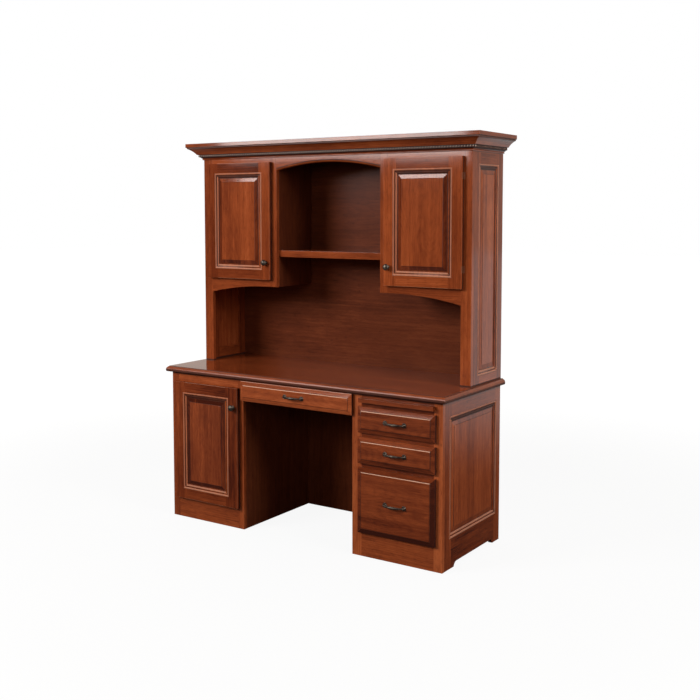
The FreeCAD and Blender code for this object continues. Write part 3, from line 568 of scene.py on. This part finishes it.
# paints the crown's shadow bands and lightens its cove
def shadeCrown(mesh):
    low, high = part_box("rope_bead")
    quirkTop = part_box("crown_moulding")[1].z - crownBands["fascia"]
    quirkFoot = quirkTop - crownBands["quirk"]
    darken(mesh, quirkFoot, quirkTop, crownBands["quirkShadow"])
    darken(mesh, low.z - crownBands["underRope"], high.z + crownBands["overRope"], crownBands["ropeShadow"])
    paintedLightAndWear = mesh.faces.layers.float["paintedLightAndWear"]
    for face in mesh.faces:
        face.normal_update()
        if face.normal.z < crownBands["coveFacing"] and high.z < face.calc_center_median().z < quirkFoot:
            face[paintedLightAndWear] = crownBands["coveLight"]


# paints shade on the side and foot of a door or drawer front
def shadeSides(mesh, node):
    low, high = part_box(node)
    darkFrom = low.y
    if node.endswith("door_frame"):      # only the rear half of a door's side
        darkFrom = high.y - sideShade["doorRear"]
        cutAt(mesh, 1, darkFrom)
    facing, reach = sideShade["facing"], sideShade["reach"]
    paintedShadeAndPores = mesh.faces.layers.float["paintedShadeAndPores"]
    for face in mesh.faces:
        face.normal_update()
        middle = face.calc_center_median()
        atSide = face.normal.x > facing and high.x - middle.x < reach and middle.y > darkFrom
        atFoot = face.normal.z < -facing and middle.z - low.z < reach
        if atSide or atFoot:
            face[paintedShadeAndPores] = sideShade["paintedShadeAndPores"]


# painted shadow under the desk top and at the hutch's foot; doors and fronts get painted shade on their sides
def shadeSeams(mesh, node):
    underTop, hutchFoot = (corner.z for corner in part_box("desk_top"))
    if node in ("hutch_end_frames", "hutch_face_frame"):
        height, amount = seamShadows["hutch"]
        darken(mesh, hutchFoot, hutchFoot + height, amount)
    elif node in ("left_face_frame", "right_face_frame", "base_end_frames"):
        height, amount = seamShadows["deskEnd" if node == "base_end_frames" else "deskFront"]
        darken(mesh, underTop - height, underTop, amount)
    elif node.endswith(("_front", "door_frame")):
        shadeSides(mesh, node)


# Dressing one board, then all the boards of a node

def boardMesh(board):
    mesh = newMesh()
    for corners in board:
        mesh.faces.new([mesh.verts.new(c) for c in corners])
    bmesh.ops.remove_doubles(mesh, verts=mesh.verts, dist=boardDressing["weld"])
    bmesh.ops.dissolve_degenerate(mesh, edges=mesh.edges, dist=boardDressing["weld"])
    bmesh.ops.dissolve_limit(mesh, angle_limit=math.radians(boardDressing["flat"]), verts=mesh.verts,
                             edges=mesh.edges)
    return mesh


def longEdges(mesh, sign, neighbours):
    corner = math.radians(boardDressing["cornerAngle"])
    found = []
    for edge in mesh.edges:
        if edge.is_manifold and edge.calc_length() > boardDressing["longEdge"]:
            middle = (edge.verts[0].co + edge.verts[1].co) / 2
            glued = any(inBox(middle, other) for other in neighbours)
            if sign * edge.calc_face_angle_signed() > corner and not glued:
                found.append(edge)
    return found


def isSlim(face, width):
    return face.calc_area() < 2 * width * max(edge.calc_length() for edge in face.edges)


# inner corners darkened as painted shade
def shadeCorners(mesh, node, neighbours):
    width = boardDressing["crownCreaseShadeWidth" if node == "crown_moulding" else "creaseShadeWidth"]
    inner = longEdges(mesh, -1, neighbours)
    if inner:
        made = bevelled(mesh, inner, width, 1)
        paintedShadeAndPores = mesh.faces.layers.float["paintedShadeAndPores"]
        for face in made:
            if isSlim(face, width):
                face[paintedShadeAndPores] = 1.0


# eased edges lightened: painted highlights on the tops of fronts and on door edges, rubbed edges elsewhere
def easeEdges(mesh, node, neighbours):
    onDoor, onFront = node.endswith("door_frame"), node.endswith("_front")
    width = easedEdge[slotOf[node]]
    if onDoor or onFront:
        width = doorEdge["ease"] if onDoor else frontEdge["ease"]
    made = bevelled(mesh, longEdges(mesh, 1, neighbours), width, 2)
    paintedLightAndWear = mesh.faces.layers.float["paintedLightAndWear"]
    for face in made:
        if isSlim(face, width):
            face.normal_update()
            onTop = onFront and face.normal.z > boardDressing["upwards"]
            face[paintedLightAndWear] = frontEdge["topHighlight"] if onTop else boardDressing["edgeWear"]
            if onDoor:
                face[paintedLightAndWear] = doorEdge["paintedLightAndWear"]


def dressBoard(node, board, box, neighbours):
    mesh = boardMesh(board)
    if node.endswith(("_panel", "_panels", "_front", "_frame", "_frames")):
        markPaintedLight(mesh, node, box)
    if node == "hutch_face_frame" and box[0].x < 0 < box[1].x:
        mouldArch(mesh, box)
    elif node == "desk_top":
        rubAndShadeNose(mesh)
    shadeCorners(mesh, node, neighbours)
    easeEdges(mesh, node, neighbours)
    if node == "crown_moulding":
        shadeCrown(mesh)
    shadeSeams(mesh, node)
    markGrain(mesh, *box, boardShade(node, box), grainStart())
    return mesh


def gather(whole, mesh):
    loose = bpy.data.meshes.new("loose")
    mesh.to_mesh(loose)
    mesh.free()
    whole.from_mesh(loose)
    bpy.data.meshes.remove(loose)


def dressBoards(node, skip=()):
    boards = [b for i, b in enumerate(splitBoards(node)) if i not in skip]
    boxes = [boxOf(b) for b in boards]
    whole = bmesh.new()
    for i, board in enumerate(boards):
        gather(whole, dressBoard(node, board, boxes[i], boxes[:i] + boxes[i + 1:]))
    return whole


def sharpenMitres(mesh):
    for edge in mesh.edges:
        start, end = (mesh.vertices[v].co for v in edge.vertices)
        run = sorted(abs(c) for c in end - start)
        if run[1] > boardDressing["mitre"]:      # slants across the face
            edge.use_edge_sharp = True


def finishPiece(node, whole, sharp=boardDressing["sharp"]):
    name = "finished." + node
    mesh = bpy.data.meshes.new(name)
    whole.to_mesh(mesh)
    whole.free()
    mesh.shade_smooth()
    raised = node.endswith(("_panel", "_panels"))
    mesh.set_sharp_from_angle(angle=math.radians(boardDressing["panelSharp"] if raised else sharp))
    if node.endswith("_front"):
        sharpenMitres(mesh)
    mesh.materials.append(finishes.get(node, finishes[slotOf[node]]))
    piece = bpy.data.objects.new(name, mesh)
    bpy.context.scene.collection.objects.link(piece)
    even = piece.modifiers.new("evenShading", "WEIGHTED_NORMAL")
    even.keep_sharp = True
    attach(piece, nodes[node]["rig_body"])
    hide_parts(node)


# Moulding round every framed panel: two beads lightened as painted highlights and rubbed edges, with painted
# shade in the quirks beside them. Each place is the distance out from the opening and the depth behind the
# frame's face. The painted light and shade are for top, bottom, left or front, right or rear

sticking = {"tongue": 0.0075, "steps": 8, "paintedShadeAndPores": (0.88, 0.4, 0.85, 0.85)}
outerBead = {"start": (0.0172, 0.0008), "end": (0.0094, 0.0024), "rise": 0.0021,
             "paintedLightAndWear": (0.85, 1.05, 0.85, 0.9)}
innerBead = {"start": (0.0042, 0.0046), "end": (-0.004, 0.0056), "rise": 0.0024,
             "paintedLightAndWear": (0.0, 1.05, 0.8, 0.5)}
innerQuirk = ((-0.0055, 0.0066), (-0.0095, 0.0059))
ringRoot = ((-0.0098, 0.0072), (0.007, 0.0075))


def stickingProfile():
    places, looks = [], []
    for bead in (outerBead, innerBead):
        for i in range(sticking["steps"] + 1):
            share = i / sticking["steps"]
            middle = (bead["start"][0] + bead["end"][0]) / 2
            away = middle + (bead["start"][0] - middle) * math.cos(math.pi * share)
            depth = bead["start"][1] + (bead["end"][1] - bead["start"][1]) * share
            places.append((away, depth - bead["rise"] * math.sin(math.pi * share)))
            looks.append(bead["paintedLightAndWear"] if i < sticking["steps"] else None)
    places += innerQuirk + ringRoot
    looks += [None] * len(innerQuirk + ringRoot)
    return places, looks


def stickingRing(panelBox, axis, face, outwards):
    flat = [i for i in range(3) if i != axis]
    middle, half = (panelBox[0] + panelBox[1]) / 2, (panelBox[1] - panelBox[0]) / 2

    def cornerSpots(away, depth):
        spots = []
        for signs in ((-1, -1), (1, -1), (1, 1), (-1, 1)):
            spot = middle.copy()
            spot[axis] = face - outwards * depth
            for i, sign in zip(flat, signs):
                spot[i] += sign * (half[i] + away - sticking["tongue"])
            spots.append(spot)
        return spots

    mesh = newMesh()
    paintedShadeAndPores, paintedLightAndWear = paintedLightLayers(mesh)
    places, looks = stickingProfile()
    spots = cornerSpots(*places[0])
    corners = [mesh.verts.new(spot) for spot in spots]
    edges = [mesh.edges.new((corners[i - 1], corners[i])) for i in range(4)]
    for look, placeNext in zip(looks, places[1:] + places[:1]):
        made = bmesh.ops.extrude_edge_only(mesh, edges=edges)["geom"]
        verts = [item for item in made if isinstance(item, bmesh.types.BMVert)]
        edges = [item for item in made if isinstance(item, bmesh.types.BMEdge)
                 and all(vert in verts for vert in item.verts)]
        moved = cornerSpots(*placeNext)
        for vert in verts:
            nearest = min(range(4), key=lambda i: (vert.co - spots[i]).length)
            vert.co = moved[nearest]
        spots = moved
        for strip in made:
            if isinstance(strip, bmesh.types.BMFace):
                spot = strip.calc_center_median() - middle
                side = sideFor(spot[flat[0]] / half[flat[0]], spot.z / half.z)
                level = look[side] if look else 0.0
                strip[paintedLightAndWear] = level
                strip[paintedShadeAndPores] = 0.0 if level else sticking["paintedShadeAndPores"][side]
    bmesh.ops.remove_doubles(mesh, verts=mesh.verts, dist=boardDressing["weld"])
    bmesh.ops.recalc_face_normals(mesh, faces=mesh.faces)
    markGrain(mesh, panelBox[0], panelBox[1], 0.0, grainStart())
    return mesh


doorNames = ("left_upper_door", "right_upper_door", "lower_door")
drawerNames = ("upper_drawer", "middle_drawer", "file_drawer", "pencil_drawer")
for door in doorNames:
    frameNode = door + "_frame"
    whole = dressBoards(frameNode)
    gather(whole, stickingRing(boxOf(splitBoards(door + "_panel")[0]), 1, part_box(frameNode)[0].y, -1))
    finishPiece(frameNode, whole)
for end in ("base_end", "hutch_end"):
    frameNode = end + "_frames"
    whole = dressBoards(frameNode)
    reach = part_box(frameNode)
    for panel in splitBoards(end + "_panels"):
        box = boxOf(panel)
        side = 1 if box[0].x > 0 else -1
        gather(whole, stickingRing(box, 0, reach[1].x if side > 0 else reach[0].x, side))
    finishPiece(frameNode, whole)
print("door frames and ends dressed")

handMade = {"rope_bead", "base_end_frames", "hutch_end_frames"}
handMade |= {door + ending for door in doorNames for ending in ("_frame", "_knob")}
handMade |= {drawer + "_pull" for drawer in drawerNames}
for node in sorted(nodes):
    if node not in handMade:
        finishPiece(node, dressBoards(node))
print("boards dressed")


# Rope bead: slanted strands side by side along the seat under the crown's cove

ropeStrand = {"pitch": 0.0138, "length": 0.0045, "thickness": 0.0016, "depth": 0.0026, "slant": 60.0,
              "endTone": -3.0, "around": 8, "rings": 6, "short": 0.0006, "grainStart": 3.0, "sharp": 180.0}


def layStrands(mesh, start, end, outwards):
    run = end - start
    count = max(1, round(run.length / ropeStrand["pitch"]))
    along = run.normalized()
    basis = Matrix((along, Vector((0, 0, 1)), outwards)).transposed().to_4x4()
    slant = Matrix.Rotation(math.radians(ropeStrand["slant"]), 4, "Z")
    size = Matrix.Diagonal((ropeStrand["length"], ropeStrand["thickness"], ropeStrand["depth"], 1))
    for i in range(count):
        spot = Matrix.Translation(start + run * ((i + 0.5) / count))
        bmesh.ops.create_uvsphere(mesh, u_segments=ropeStrand["around"], v_segments=ropeStrand["rings"],
                                  radius=1.0, matrix=spot @ basis @ slant @ size)


def ropeBead():
    low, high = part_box("rope_bead")
    radius = (high.z - low.z) / 2
    level = (low.z + high.z) / 2
    front = low.y + radius
    left, right = low.x + radius, high.x - radius
    back = high.y - ropeStrand["short"]
    mesh = newMesh()
    layStrands(mesh, Vector((left, front, level)), Vector((right, front, level)), Vector((0, -1, 0)))
    layStrands(mesh, Vector((right, front, level)), Vector((right, back, level)), Vector((1, 0, 0)))
    layStrands(mesh, Vector((left, back, level)), Vector((left, front, level)), Vector((-1, 0, 0)))
    bmesh.ops.recalc_face_normals(mesh, faces=mesh.faces)
    markGrain(mesh, low, high, 0.0, ropeStrand["grainStart"])
    tones = mesh.verts.layers.float["tone"]
    for vert in mesh.verts:
        if vert.co.y > front + 2 * radius:       # the strands along the ends are darker, without the painted highlights of the front
            vert[tones] = ropeStrand["endTone"]
    finishPiece("rope_bead", mesh, ropeStrand["sharp"])


ropeBead()
print("rope bead laid")


# Turned hardware: an outline of radius and reach, in millimetres, is spun about the screw's line

millimetre = 0.001
turning = {"weld": 0.000005, "sharp": 50.0}
knobShape = {"steps": 40, "reach": 0.027, "rub": 0.2, "domeRadius": 14.6, "domeRise": 8.4, "domeSteps": 8}
pullShape = {"centres": 0.096, "bow": 0.022, "footHeight": 0.010, "bar": 0.0045, "bead": 0.0055,
             "steps": 36, "sides": 16, "turnSteps": 28, "rub": 0.5}
# thickness of the bar: slim at the feet, full in the middle, a bead there and a ring on either side of it
barTurning = {"slim": 0.72, "swell": 0.5, "beadWidth": 0.055, "ringPlace": 0.13, "ringWidth": 0.022,
              "ringRise": 0.0007}


def spun(mesh, outline, middle, steps):
    axis, radial = Vector((0, -1, 0)), Vector((1, 0, 0))
    chain = [mesh.verts.new(middle + radial * (max(radius, 0) * millimetre) + axis * (reach * millimetre))
             for radius, reach in outline]
    edges = [mesh.edges.new(pair) for pair in zip(chain, chain[1:])]
    bmesh.ops.spin(mesh, geom=chain + edges, cent=middle, axis=axis, angle=2 * math.pi, steps=steps,
                   use_merge=True)
    bmesh.ops.remove_doubles(mesh, verts=mesh.verts, dist=turning["weld"])


def arcPoints(centre, radius, start, end, count):
    points = []
    for i in range(count + 1):
        turn = math.radians(start + (end - start) * i / count)
        points.append((centre[0] + radius * math.cos(turn), centre[1] + radius * math.sin(turn)))
    return points


def knobOutline():
    outline = [(0, 0), (9.0, 0)]
    outline += arcPoints((8.2, 1.1), 1.1, -45, 90, 5)        # rim of the rose
    outline += [(7.0, 2.3)]
    outline += arcPoints((10.5, 7.6), 5.0, 250, 180, 6)      # hollow of the neck
    outline += [(5.7, 10.0), (6.5, 12.6), (9.0, 14.6), (13.0, 15.9)]
    outline += arcPoints((13.4, 17.4), 1.6, -70, 40, 6)      # edge of the head
    rise = knobShape["domeRise"]
    foot = knobShape["reach"] / millimetre - rise
    for i in range(1, knobShape["domeSteps"] + 1):
        turn = math.radians(90 * i / knobShape["domeSteps"])
        outline.append((knobShape["domeRadius"] * math.cos(turn), foot + rise * math.sin(turn)))
    return outline


def footOutline():
    outline = [(0, 0), (10.6, 0)]
    outline += arcPoints((9.8, 1.2), 1.2, -50, 90, 5)        # rim of the rosette
    outline += [(8.6, 2.5), (8.2, 2.1), (7.6, 2.1)]          # turned line inside the rim
    outline += arcPoints((10.0, 8.4), 5.6, 240, 195, 5)
    outline += arcPoints((0.0, 9.4), 5.4, -10, 90, 8)        # button on top
    return outline


def finishHardware(node, shape, rub):
    bmesh.ops.recalc_face_normals(shape, faces=shape.faces)
    markGrain(shape, *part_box(node), rub, 0.0)
    sizes = [(high - low).length for low, high in map(boxOf, splitBoards(node))]
    whole = dressBoards(node, skip=(sizes.index(max(sizes)),))       # the shape replaces all but the screws
    gather(whole, shape)
    finishPiece(node, whole, turning["sharp"])


def seatOf(node, reach):
    low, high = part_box(node)
    return Vector(((low.x + high.x) / 2, low.y + reach, (low.z + high.z) / 2))


for door in doorNames:
    node = door + "_knob"
    mesh = newMesh()
    spun(mesh, knobOutline(), seatOf(node, knobShape["reach"]), knobShape["steps"])
    finishHardware(node, mesh, knobShape["rub"])
print("knobs turned")


def barRadius(share):
    swell = barTurning["slim"] + barTurning["swell"] * math.cos(share * math.pi / 2) ** 2
    bead = math.exp(-(share / barTurning["beadWidth"]) ** 2)
    rings = math.exp(-((abs(share) - barTurning["ringPlace"]) / barTurning["ringWidth"]) ** 2)
    thick = pullShape["bar"] * swell
    return thick + (pullShape["bead"] - thick) * bead + barTurning["ringRise"] * rings


def pullBar(mesh, seat):
    reach = pullShape["centres"] / 2
    rise = pullShape["bow"] - pullShape["footHeight"]
    bow = (reach ** 2 + rise ** 2) / (2 * rise)
    turn = math.asin(reach / bow)
    centre = seat + Vector((0, bow - pullShape["bow"], 0))
    start = centre + Matrix.Rotation(-turn, 3, "Z") @ Vector((0, -bow, 0))
    tilt = Matrix.Rotation(-turn, 4, "Z") @ Matrix.Rotation(math.pi / 2, 4, "Y")
    ring = bmesh.ops.create_circle(mesh, cap_ends=False, segments=pullShape["sides"],
                                   radius=pullShape["bead"], matrix=Matrix.Translation(start) @ tilt)["verts"]
    edges = list({edge for vert in ring for edge in vert.link_edges})
    bmesh.ops.spin(mesh, geom=ring + edges, cent=centre, axis=(0, 0, 1), angle=2 * turn,
                   steps=pullShape["steps"])
    for vert in mesh.verts:      # each ring of the bar takes its own thickness
        spot = vert.co - centre
        angle = math.atan2(spot.x, -spot.y)
        heart = centre + Vector((math.sin(angle), -math.cos(angle), 0)) * bow
        vert.co = heart + (vert.co - heart) * (barRadius(angle / turn) / pullShape["bead"])


for drawer in drawerNames:
    node = drawer + "_pull"
    seat = seatOf(node, pullShape["bow"] + pullShape["bead"])
    mesh = newMesh()
    pullBar(mesh, seat)
    for side in (-1, 1):
        foot = seat + Vector((side * pullShape["centres"] / 2, 0, 0))
        spun(mesh, footOutline(), foot, pullShape["turnSteps"])
    finishHardware(node, mesh, pullShape["rub"])
print("bow pulls turned")


# Stage: pale floor, white surroundings behind, a softbox in front on the left, fill from the right and front

stage = {"floorSize": 30.0, "floorNear": 0.92, "floorFar": 1.0, "nearReach": 1.6, "farReach": 4.5,
         "floorColour": (0.06, 0.06, 0.06, 1.0), "floorGloss": 0.9, "sheenNear": 0.0, "sheenFar": 0.7,
         "rearLevels": (-0.5, 2.0), "behind": 0.66, "ahead": 0.03, "turnLevels": (-0.25, 0.35),
         "rightShare": 0.7, "roomTint": (1.0, 0.94, 0.85, 1.0), "white": (1.0, 1.0, 1.0, 1.0)}
softbox = {"place": (-2.59, -4.09, 3.01), "aim": (0.0, -0.1, 1.1), "size": (2.35, 2.05), "power": 142.0,
           "colour": (1.0, 0.985, 0.97), "mirrored": True}
lamps = {
    "softbox": softbox,
    "keyFill": dict(softbox, power=93.0, mirrored=False),        # same place, without a reflection of its own
    "sideLight": {"place": (4.8, -0.9, 3.4), "aim": (0.5, 0.0, 0.95), "size": (2.2, 1.8), "power": 150.0,
                  "colour": (1.0, 0.98, 0.96), "mirrored": True},
    "frontFill": {"place": (2.0, -5.0, 2.5), "aim": (0.0, 0.0, 0.8), "size": (2.6, 1.8), "power": 40.0,
                  "colour": (1.0, 0.98, 0.96), "mirrored": False},
}


def floorFinish():
    material, tree, shader = newFinish("paleFloor")
    seen = place(tree, "LightPath").outputs
    spot = place(tree, "TexCoord").outputs["Object"]
    away = place(tree, "VectorMath", {0: spot}, operation="LENGTH").outputs["Value"]
    reach = place(tree, "MapRange", {0: away, 1: stage["nearReach"], 2: stage["farReach"]},
                  interpolation_type="SMOOTHSTEP").outputs[0]
    rear = remapped(tree, place(tree, "SeparateXYZ", {0: spot}).outputs[1], *stage["rearLevels"])
    white = remapped(tree, reach, 0.0, 1.0, stage["floorNear"], stage["floorFar"])
    sheen = remapped(tree, calc(tree, "MULTIPLY", reach, rear), 0.0, 1.0, stage["sheenNear"],
                     stage["sheenFar"])
    glow = calc(tree, "ADD", calc(tree, "MULTIPLY", seen["Is Camera Ray"], white),
                calc(tree, "MULTIPLY", seen["Is Glossy Ray"], sheen))
    shader.inputs["Base Color"].default_value = stage["floorColour"]
    shader.inputs["Roughness"].default_value = stage["floorGloss"]
    shader.inputs["Specular IOR Level"].default_value = 0.0
    shader.inputs["Emission Color"].default_value = stage["white"]
    tree.links.new(glow, shader.inputs["Emission Strength"])
    return material


def makeFloor():
    mesh = bmesh.new()
    bmesh.ops.create_grid(mesh, x_segments=4, y_segments=4, size=stage["floorSize"])
    data = bpy.data.meshes.new("floor")
    mesh.to_mesh(data)
    mesh.free()
    data.materials.append(floorFinish())
    floor = bpy.data.objects.new("floor", data)
    bpy.context.scene.collection.objects.link(floor)


def makeWorld():
    world = bpy.data.worlds.new("paleRoom")
    bpy.context.scene.world = world
    world.use_nodes = True
    tree = world.node_tree
    back = tree.nodes["Background"]
    heading = place(tree, "TexCoord").outputs["Generated"]
    across, depth, _ = place(tree, "SeparateXYZ", {0: heading}).outputs
    turnLow, turnHigh = stage["turnLevels"]
    room = place(tree, "MapRange", {0: depth, 1: turnLow, 2: turnHigh, 3: stage["ahead"], 4: stage["behind"]},
                 interpolation_type="SMOOTHSTEP").outputs[0]
    room = calc(tree, "MULTIPLY", room, remapped(tree, across, 0.0, 0.5, 1.0, stage["rightShare"]))
    seen = place(tree, "LightPath").outputs["Is Camera Ray"]
    strength = place(tree, "Mix", {0: seen, 2: room, 3: 1.0}, data_type="FLOAT").outputs[0]
    tree.links.new(strength, back.inputs["Strength"])
    tree.links.new(mixed(tree, seen, stage["roomTint"], stage["white"]), back.inputs["Color"])


def makeLamp(name, look):
    lamp = bpy.data.lights.new(name, "AREA")
    lamp.shape = "RECTANGLE"
    lamp.size, lamp.size_y = look["size"]
    lamp.energy = look["power"]
    lamp.color = look["colour"]
    lampObject = bpy.data.objects.new(name, lamp)
    lampObject.location = look["place"]
    heading = Vector(look["aim"]) - Vector(look["place"])
    lampObject.rotation_euler = heading.to_track_quat("-Z", "Y").to_euler()
    lampObject.visible_glossy = look["mirrored"]
    bpy.context.scene.collection.objects.link(lampObject)


makeFloor()
makeWorld()
for name, look in lamps.items():
    makeLamp(name, look)
print("stage and light set")


# Camera at the photograph's viewing angle

viewpoint = {"place": (2.7758, -3.97845, 1.5392), "tilt": 85.687, "turn": 33.638, "lens": 52.25,
             "rise": -0.09, "side": 0.0006}
camera = bpy.data.cameras.new("camera")
camera.lens = viewpoint["lens"]
camera.shift_y = viewpoint["rise"]
camera.shift_x = viewpoint["side"]
cameraObject = bpy.data.objects.new("camera", camera)
cameraObject.location = viewpoint["place"]
cameraObject.rotation_euler = (math.radians(viewpoint["tilt"]), 0, math.radians(viewpoint["turn"]))
bpy.context.scene.collection.objects.link(cameraObject)
bpy.context.scene.camera = cameraObject
bpy.context.scene.view_settings.view_transform = "Standard"

print("all pieces in place")
